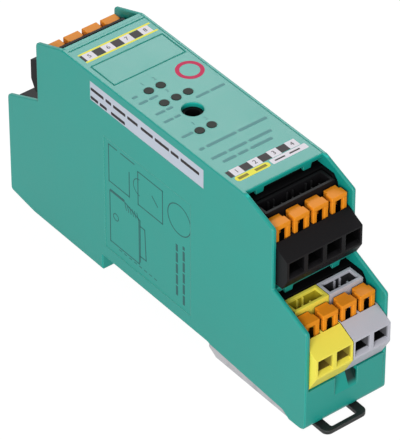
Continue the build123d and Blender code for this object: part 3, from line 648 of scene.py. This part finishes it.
def addNumeral(shape, text, seat, centre, size):
    # a plain numeral, drawn upright on its face
    letters = bpy.data.curves.new("numeral", "FONT")
    letters.body = text
    letters.size = size
    letters.align_x = "CENTER"
    letters.align_y = "CENTER"
    holder = bpy.data.objects.new("numeral", letters)
    flat = bpy.data.meshes.new_from_object(holder)
    part = bmesh.new()
    part.from_mesh(flat)
    bmesh.ops.remove_doubles(part, verts=part.verts, dist=ink["weld"])
    raised = bmesh.ops.extrude_face_region(part, geom=list(part.faces))["geom"]
    high = {item for item in raised if isinstance(item, bmesh.types.BMVert)}
    for vert in part.verts:
        height = ink["height"] if vert in high else -ink["sunk"]
        vert.co = seat(centre[0] + vert.co.x, centre[1] + vert.co.y, height)
    joined = bpy.data.meshes.new("numeral")
    part.to_mesh(joined)
    part.free()
    shape.from_mesh(joined)
    bpy.data.objects.remove(holder)
    bpy.data.curves.remove(letters)
    bpy.data.meshes.remove(flat)
    bpy.data.meshes.remove(joined)


inks = {
    "dark": printedFilm("inkDark", {
        "colour": screen(48, 42, 44), "under": screen(120, 115, 120),
        "gaps": 0.2, "specular": 0.1}),
    "white": printedFilm("inkWhite", {
        "colour": screen(226, 222, 230), "gaps": 0.1, "specular": 0.2}),
    "yellow": printedFilm("inkYellow", {
        "colour": screen(243, 236, 75), "gaps": 0.1, "specular": 0.1}),
    "red": printedFilm("inkRed", {
        "colour": screen(200, 30, 84), "gaps": 0.1, "specular": 0.08}),
    "soft": printedFilm("inkSoft", {
        "colour": screen(58, 132, 132), "under": screen(60, 160, 145),
        "gaps": 0.3, "specular": 0.2}),
    "line": printedFilm("inkLine", {
        "colour": screen(40, 95, 95), "under": screen(50, 130, 122),
        "gaps": 0.25, "specular": 0.2}),
    "olive": printedFilm("inkOlive", {
        "colour": screen(140, 130, 40), "gaps": 0.2, "specular": 0.1}),
}
topSlots = {"yellow": "plug_yellow", "white": "label_white", "dark": "plug_black",
            "olive": "plug_yellow", "soft": "housing_green", "red": "label_white"}
topInk = {name: bmesh.new() for name in topSlots}


def addStrip(strip):
    # black and white fields in turn, with a plain number on each white one
    low, high = strip["y"]
    half = strip["fieldWidth"] / 2
    inset = strip["inset"]
    reach = strip["start"]
    for centre, number in zip(strip["fields"], strip["numbers"]):
        black = bar(reach, low + inset, centre - half, high - inset)
        addPanel(topInk["dark"], black, onTop)
        addNumeral(topInk["dark"], number, overInk, (centre, (low + high) / 2), strip["size"])
        addPanel(topInk["white"], bar(centre - half, low, centre + half, high), onTop)
        reach = centre + half


# Marking strip at the far end, between yellow lines
farStrip = {"start": -9.6, "end": 9.9, "y": (25.0, 27.5), "line": 0.5, "inset": 0.1,
            "fields": (-7.62, -2.54, 2.54, 7.62), "fieldWidth": 2.7,
            "numbers": ("5", "6", "7", "8"), "size": 1.7}
left, right = farStrip["start"], farStrip["end"]
low, high = farStrip["y"]
addPanel(topInk["yellow"], bar(left, low - farStrip["line"], right, low), onTop)
addPanel(topInk["yellow"], bar(left, high, right, high + farStrip["line"]), onTop)
addStrip(farStrip)

# Marking strip at the near end, with a yellow and a white field below it and dashes on both
nearStrip = {"start": -9.95, "y": (-25.9, -23.5), "inset": 0.1,
             "fields": (-7.6, -2.7, 2.4, 7.3), "fieldWidth": 2.6,
             "numbers": ("1", "2", "3", "4"), "size": 1.7}
belowStrip = {"y": (-27.75, -26.05), "yellow": (-9.6, -0.6), "yellowCorner": 0.75,
              "white": (-0.1, 9.5), "whiteCorner": 0.3,
              "oliveY": (-27.3, -26.5), "olive": ((-8.9, -6.3), (-4.4, -1.4)),
              "darkY": (-27.1, -26.7), "dark": ((0.9, 3.6), (4.8, 7.6))}
addStrip(nearStrip)
low, high = belowStrip["y"]
for tone in ("yellow", "white"):
    left, right = belowStrip[tone]
    field = softBar(left, low, right, high, belowStrip[tone + "Corner"])
    addPanel(topInk[tone], field, onTop)
for tone in ("olive", "dark"):
    low, high = belowStrip[tone + "Y"]
    for left, right in belowStrip[tone]:
        addPanel(topInk[tone], bar(left, low, right, high), overInk)

# Plain numbers, dashes and rows of bars where the top has small print, and the red ring
smallPrint = {
    "size": 1.5, "corner": 0.3, "dashHalf": 0.38, "rowHalf": 0.42,
    "numbers": (("1", -4.8, 11.2), ("2", -1.6, 11.2), ("3", -2.0, 6.1), ("1", -4.7, -6.4),
                ("2", -1.5, -6.6)),
    "dashes": ((-9.6, -8.2, 8.5), (-9.7, -7.3, 6.0), (-6.9, -4.6, 6.0), (-9.1, -6.6, 0.9),
               (-6.2, -4.5, 0.9), (-9.4, -6.9, -2.3), (-6.5, -5.0, -2.3), (1.4, 4.9, 0.4),
               (5.4, 9.2, 0.4), (-9.6, -6.6, -8.7)),
    "rows": {-14.3: ((-9.3, -8.0), (-7.4, 0.6), (1.2, 8.9)),
             -18.3: ((-9.2, -5.2), (-4.6, 0.2), (0.8, 6.9)),
             -20.5: ((-7.9, -4.4), (-3.8, -1.2), (-0.4, 5.4))},
}
for text, u, v in smallPrint["numbers"]:
    addNumeral(topInk["soft"], text, onTop, (u, v), smallPrint["size"])
bars = [(left, right, v, smallPrint["dashHalf"]) for left, right, v in smallPrint["dashes"]]
bars += [(left, right, v, smallPrint["rowHalf"]) for v, row in smallPrint["rows"].items()
         for left, right in row]
for left, right, v, half in bars:
    field = softBar(left, v - half, right, v + half, smallPrint["corner"])
    addPanel(topInk["soft"], field, onTop)
redRing = {"centre": (6.35, 8.9), "radius": 2.75, "width": 0.95}
addArc(topInk["red"], onTop, redRing["centre"], redRing["radius"], redRing["width"])

for name, slot in topSlots.items():
    finishPiece(topInk[name], "print_" + name, inks[name])
print("top print made")

# Label on the flank: dark bars stand where words would be
labelPrint = {"half": 0.4, "corner": 0.2, "steps": 3, "rows": {
    48.8: ((16.6, 21.2), (13.9, 15.9), (8.9, 13.2), (4.6, 8.2), (-0.7, 3.5), (-6.3, -1.4),
           (-9.6, -6.9), (-16.6, -10.3)),
    46.5: ((18.6, 21.3), (15.5, 18.0), (9.1, 14.0))}}
labelInk = bmesh.new()
for v, row in labelPrint["rows"].items():
    for left, right in row:
        addPanel(labelInk, softBar(left, v - labelPrint["half"], right, v + labelPrint["half"],
                                   labelPrint["corner"], labelPrint["steps"]), onLabel)
finishPiece(labelInk, "print_label", inks["dark"])

# Plain connection lines in the panel on the flank, with hatching, dashes, rings and columns
flankPrint = {
    "width": 0.27,
    "lines": ((15.3, 37.2, 15.3, 27.0), (15.3, 27.0, 8.0, 27.0), (8.0, 27.0, 8.0, 33.8),
              (10.9, 37.2, 6.2, 37.2), (15.3, 37.2, 12.4, 37.2), (4.9, 36.0, -3.75, 36.0),
              (-3.75, 36.0, -3.75, 26.9), (-3.75, 26.9, 4.9, 26.9), (4.9, 26.9, 4.9, 36.0),
              (-0.1, 32.3, -2.0, 30.5), (15.1, 24.4, 15.1, 10.2), (15.1, 10.2, 4.7, 10.2),
              (4.7, 10.2, 4.7, 22.5), (9.6, 24.4, 4.3, 22.7), (4.3, 22.7, 4.3, 11.0),
              (2.65, 21.1, 2.25, 12.65), (4.3, 21.1, 2.65, 21.1), (4.3, 12.6, 2.25, 12.6)),
    "fill": (9.8, 24.3, 15.0, 25.0),
    "hatch": {"count": 6, "start": 4.9, "pitch": 0.85, "lean": 0.5, "v": (22.5, 24.1),
              "width": 0.22},
    "dash": {"count": 8, "start": 12.0, "pitch": 1.8, "length": 1.0, "v": (9.45, 9.65)},
    "arcs": (((4.3, 31.8), 2.2, 0.2, -90, 90, 20), ((13.0, 18.1), 0.9, 0.22, 0, 360, 24),
             ((-9.6, 31.8), 4.0, 0.26, 0, 360, 48)),
    "columns": {"half": 0.36, "length": 2.6, "gap": 0.5,
                "places": ((-8.7, 10.2, 24.5), (-11.1, 8.9, 25.3))},
}
lines = bmesh.new()
for u0, v0, u1, v1 in flankPrint["lines"]:
    addPanel(lines, stroke(u0, v0, u1, v1, flankPrint["width"]), onField)
addPanel(lines, bar(*flankPrint["fill"]), onField)
hatch = flankPrint["hatch"]
for step in range(hatch["count"]):
    u = hatch["start"] + step * hatch["pitch"]
    low, high = hatch["v"]
    addPanel(lines, stroke(u, low, u + hatch["lean"], high, hatch["width"]), onField)
dash = flankPrint["dash"]
for step in range(dash["count"]):
    u = dash["start"] - step * dash["pitch"]
    low, high = dash["v"]
    addPanel(lines, bar(u - dash["length"], low, u, high), onField)
for centre, radius, width, first, last, steps in flankPrint["arcs"]:
    addArc(lines, onField, centre, radius, width, first, last, steps)
columns = flankPrint["columns"]
for u, low, high in columns["places"]:
    while low < high:
        upper = min(low + columns["length"], high)
        addPanel(lines, bar(u - columns["half"], low, u + columns["half"], upper), onField)
        low = upper + columns["gap"]
finishPiece(lines, "print_flank_lines", inks["line"])
print("flank print made")


# Levers: a plate over two pointed legs with a wide gap, short guides behind.
# Legs and guides are buried a little in the plate.
leverLook = {"plate": 1.15, "leg": 1.05, "legDepth": 0.85, "guide": 3.6, "guideDepth": 0.9,
             "neck": 1.3, "inset": 0.45, "pointRise": 0.9, "pointRun": 0.45, "bury": 0.02}
leverCorner = {"width": 0.16, "turn": 30}


def makeLever(name):
    look = {key: size * mm for key, size in leverLook.items()}
    low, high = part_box(name)
    front, back = (low.y, high.y) if low.y < 0 else (high.y, low.y)
    inward = 1 if back > front else -1
    neck = back - inward * look["neck"]
    under = high.z - look["plate"]
    root = under + look["bury"]
    innerLow, innerHigh = low.x + look["inset"], high.x - look["inset"]
    shape = bmesh.new()
    addBlock(shape, [(low.x, front), (high.x, front), (high.x, neck), (innerHigh, neck),
                     (innerHigh, back), (innerLow, back), (innerLow, neck), (low.x, neck)],
             under, high.z, outlineFlat)
    legEnd = front + inward * look["legDepth"]
    leg = [(front, root), (front, low.z + look["pointRise"]),
           (front + inward * look["pointRun"], low.z), (legEnd, low.z), (legEnd, root)]
    guideEnd, guideFoot = back - inward * look["guideDepth"], under - look["guide"]
    guide = [(back, root), (back, guideFoot), (guideEnd, guideFoot), (guideEnd, root)]
    for outline, sides in ((leg, (low.x, high.x - look["leg"])),
                           (guide, (innerLow, innerHigh - look["leg"]))):
        for side in sides:
            addBlock(shape, outline, side, side + look["leg"], outlineSide)
    lever = finishPiece(shape, name + "_shape", finishes["lever_orange"],
                        bodies[name])
    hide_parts(name)
    soften(lever, leverCorner["width"], leverCorner["turn"])


for name in slots:
    if name.startswith("lever_"):
        makeLever(name)
print("levers made")


# Pairs of ribs on the back wall of each tray, at the pole boundaries
ribLook = {"width": 0.32, "depth": 0.45, "apart": 0.75, "wall": 0.68, "drop": 0.7,
           "height": 4.2, "bury": 0.03, "margin": 1.0}
# the ribs' hollow colours are painted shade, lighter than on the plugs
ribFinishes = {
    "plug_black": mouldedPlastic("ribBlack", {
        "colour": paint(0.012, 0.012, 0.013), "rough": 0.5, "specular": 0.15}),
    "plug_yellow": mouldedPlastic("ribYellow", {
        "colour": paint(0.86, 0.75, 0.1), "paintedHollowShade": paint(0.7, 0.6, 0.06),
        "rough": 0.45, "specular": 0.2}),
    "plug_grey": mouldedPlastic("ribGrey", {
        "colour": paint(0.45, 0.45, 0.5), "paintedHollowShade": paint(0.3, 0.3, 0.34),
        "rough": 0.45, "specular": 0.2}),
}


def makeRibs(name):
    look = {key: size * mm for key, size in ribLook.items()}
    low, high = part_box(name)
    away = 1 if low.y > 0 else -1
    wall = away * (min(abs(low.y), abs(high.y)) + look["wall"])
    root, tip = wall - away * look["bury"], wall + away * look["depth"]
    upper = high.z - look["drop"]
    shape = bmesh.new()
    for step in (-1, 0, 1):
        middle = step * polePitch * mm
        if low.x + look["margin"] < middle < high.x - look["margin"]:
            for side in (-1, 1):
                x = middle + side * look["apart"]
                half = look["width"] / 2
                addBlock(shape, bar(x - half, root, x + half, tip), upper - look["height"],
                         upper, outlineFlat)
    slot = slots[name]
    finishPiece(shape, name.replace("plug", "ribs"), ribFinishes[slot], bodies[name])


for name in slots:
    if name.startswith("plug_"):
        makeRibs(name)
print("tray ribs made")


# Lip of the roof over the far upper plug, clear of the plug's tray as it slides
lipLook = {"x": (-10.36, 10.36), "profile": ((30.9, 47.7), (31.8, 47.7), (32.2, 48.1),
                                             (32.2, 48.6), (32.05, 48.78), (30.9, 48.78))}


def makeLip():
    left, right = (x * mm for x in lipLook["x"])
    shape = bmesh.new()
    profile = [(y * mm, z * mm) for y, z in lipLook["profile"]]
    addBlock(shape, profile, left, right, outlineSide)
    finishPiece(shape, "roof_lip", finishes["housing_green"])


makeLip()
print("roof lip made")


# Screws that guide the latch: cross recess, bevelled head, ridged shank
screwLook = {"shank": 1.25, "core": 1.02, "pitch": 0.5, "head": 1.1, "bevel": 0.25,
             "arm": 1.45, "armHalf": 0.32, "recess": 0.6, "points": 48, "tiny": 1e-6}


def crossReach(angle):
    # how far the cross recess reaches from the axis
    along = abs(math.cos(angle)) + screwLook["tiny"]
    across = abs(math.sin(angle)) + screwLook["tiny"]
    arm, half = screwLook["arm"], screwLook["armHalf"]
    return max(min(arm / along, half / across), min(arm / across, half / along))


def roundReach(radius):
    return lambda angle: radius


def makeScrews():
    low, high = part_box("latch_screws")
    radius = (high.x - low.x) / 2 / mm
    foot, tip = low.z / mm, high.z / mm
    headEnd = foot + screwLook["head"]
    rings = [(crossReach, foot + screwLook["recess"]), (crossReach, foot),
             (roundReach(radius - screwLook["bevel"]), foot),
             (roundReach(radius), foot + screwLook["bevel"]), (roundReach(radius), headEnd)]
    z = headEnd
    while z < tip - screwLook["pitch"]:
        rings.append((roundReach(screwLook["core"]), z))
        rings.append((roundReach(screwLook["shank"]), z + screwLook["pitch"] / 2))
        z += screwLook["pitch"]
    rings.append((roundReach(screwLook["core"]), tip))
    shape = bmesh.new()
    for y in (low.y / mm + radius, high.y / mm - radius):
        loops = []
        for reach, z in rings:
            loop = []
            for step in range(screwLook["points"]):
                angle = 2 * math.pi * (step + 0.5) / screwLook["points"]
                out, side = reach(angle) * math.cos(angle), reach(angle) * math.sin(angle)
                loop.append(shape.verts.new(Vector((out, y + side, z)) * mm))
            loops.append(loop)
        for one, two in zip(loops, loops[1:]):
            bridge(shape, one, two)
        shape.faces.new(loops[0])
        shape.faces.new(loops[-1][::-1])
    screws = finishPiece(shape, "guide_screws", finishes["screw_steel"])
    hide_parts("latch_screws")


makeScrews()
print("screws made")


# Return spring of the foot latch, wound from wire, with closed turns at both ends.
coilLook = {"wire": 0.15, "turns": 7.5, "closed": 1.0, "points": 14, "travel": 3.5}


def makeCoil():
    low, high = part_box("latch_spring")
    centre = (low + high) / 2
    wire = coilLook["wire"] * mm
    radius = (high.x - low.x) / 2 - wire
    turns, closed = coilLook["turns"], coilLook["closed"]
    count = int(turns * coilLook["points"])
    curve = bpy.data.curves.new("coil", "CURVE")
    curve.dimensions = "3D"
    curve.bevel_depth = wire
    curve.bevel_resolution = 2
    curve.use_fill_caps = True
    path = curve.splines.new("POLY")
    path.points.add(count)
    first, last = low.y + wire, high.y - wire
    flat = closed * 2 * wire
    for step in range(count + 1):
        turn = turns * step / count
        if turn < closed:
            y = first + flat * turn / closed
        elif turn > turns - closed:
            y = last - flat * (turns - turn) / closed
        else:
            span = last - first - 2 * flat
            y = first + flat + span * (turn - closed) / (turns - 2 * closed)
        angle = 2 * math.pi * turn
        path.points[step].co = (centre.x + radius * math.cos(angle), y,
                                centre.z + radius * math.sin(angle), 1)
    holder = bpy.data.objects.new("coil", curve)
    mesh = bpy.data.meshes.new_from_object(holder)
    bpy.data.objects.remove(holder)
    mesh.name = "latch_coil"
    for face in mesh.polygons:
        face.use_smooth = True
    coil = bpy.data.objects.new("latch_coil", mesh)
    bpy.context.scene.collection.objects.link(coil)
    mesh.materials.append(finishes["spring_steel"])
    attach(coil, "latch")
    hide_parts("latch_spring")
    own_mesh(coil)


makeCoil()
print("coil made")


# Floor, light and camera

def seenRays(finish):
    # 1 for what the camera, gloss and glass see
    camera = finish.node("LightPath", out="Is Camera Ray")
    gloss = finish.node("LightPath", out="Is Glossy Ray")
    through = finish.node("LightPath", out="Is Transmission Ray")
    return finish.ramp(camera + gloss + through, 0.0, 1.0)


floorLook = {"size": 3.0, "drop": 0.02, "albedo": 0.62, "vary": 0.98, "grain": 2.0,
             "white": 1.15, "share": 0.82}


def makeFloor():
    shape = bmesh.new()
    half = floorLook["size"] / 2
    level = cadBox[0].z - floorLook["drop"] * mm
    shape.faces.new([shape.verts.new((x, y, level)) for x, y in bar(-half, -half, half, half)])
    mesh = bpy.data.meshes.new("floor")
    shape.to_mesh(mesh)
    shape.free()
    plane = bpy.data.objects.new("floor", mesh)
    bpy.context.scene.collection.objects.link(plane)
    finish = startFinish("floorPale")
    grain = finish.noise(floorLook["grain"], 3)
    albedo = floorLook["albedo"]
    tone = finish.blend(grain, grey(albedo * floorLook["vary"]), grey(albedo))
    matte = finish.node("BsdfDiffuse", None, {"Color": tone})
    glow = finish.node("Emission", None, {"Color": grey(1.0), "Strength": floorLook["white"]})
    seen = seenRays(finish) * floorLook["share"]
    both = finish.node("MixShader", None, {0: seen, 1: matte, 2: glow})
    mesh.materials.append(finish.holder)
    finish.node("OutputMaterial", None, {"Surface": both})


worldLook = {"ambient": 0.28, "backdrop": 1.0}


def makeWorld():
    world = bpy.data.worlds.new("studio")
    bpy.context.scene.world = world
    finish = Finish(world)
    seen = seenRays(finish)
    tone = finish.blend(seen, grey(worldLook["ambient"]), grey(worldLook["backdrop"]))
    back = finish.node("Background", None, {"Color": tone, "Strength": 1.0})
    finish.node("OutputWorld", None, {"Surface": back})


lamps = {
    "key": {"from": (-0.685, -0.59, 0.425), "away": 0.9, "size": (0.5, 0.5), "power": 6.9},
    "back": {"from": (0.485, 0.599, 0.637), "away": 0.7, "size": (0.3, 0.22), "power": 2.1},
}


def makeLamps():
    middle = (cadBox[0] + cadBox[1]) / 2
    for name, lamp in lamps.items():
        light = bpy.data.lights.new(name, "AREA")
        light.shape = "RECTANGLE"
        light.size, light.size_y = lamp["size"]
        light.energy = lamp["power"]
        holder = bpy.data.objects.new(name, light)
        bpy.context.scene.collection.objects.link(holder)
        away = Vector(lamp["from"]).normalized()
        holder.location = middle + away * lamp["away"]
        holder.rotation_mode = "QUATERNION"
        holder.rotation_quaternion = away.to_track_quat("Z", "Y")


# Fitted to measured corners of the photograph
cameraLook = {"place": (-0.41136654, -0.52404752, 0.56021168),
              "right": (0.78501336, -0.61947883, -0.00006831),
              "up": (0.39196123, 0.49661407, 0.77442938),
              "back": (-0.47970868, -0.60796418, 0.63266037),
              "lens": 321.979, "sensor": 36, "clip": (0.01, 20)}


def makeCamera():
    data = bpy.data.cameras.new("camera")
    data.sensor_width = cameraLook["sensor"]
    data.sensor_fit = "AUTO"
    data.lens = cameraLook["lens"]
    data.clip_start, data.clip_end = cameraLook["clip"]
    camera = bpy.data.objects.new("camera", data)
    bpy.context.scene.collection.objects.link(camera)
    turn = Matrix([cameraLook[key] for key in ("right", "up", "back")]).transposed()
    camera.matrix_world = Matrix.Translation(cameraLook["place"]) @ turn.to_4x4()
    bpy.context.scene.camera = camera


makeFloor()
makeWorld()
makeLamps()
makeCamera()
bpy.context.scene.view_settings.view_transform = "Standard"
print("floor, light and camera set")
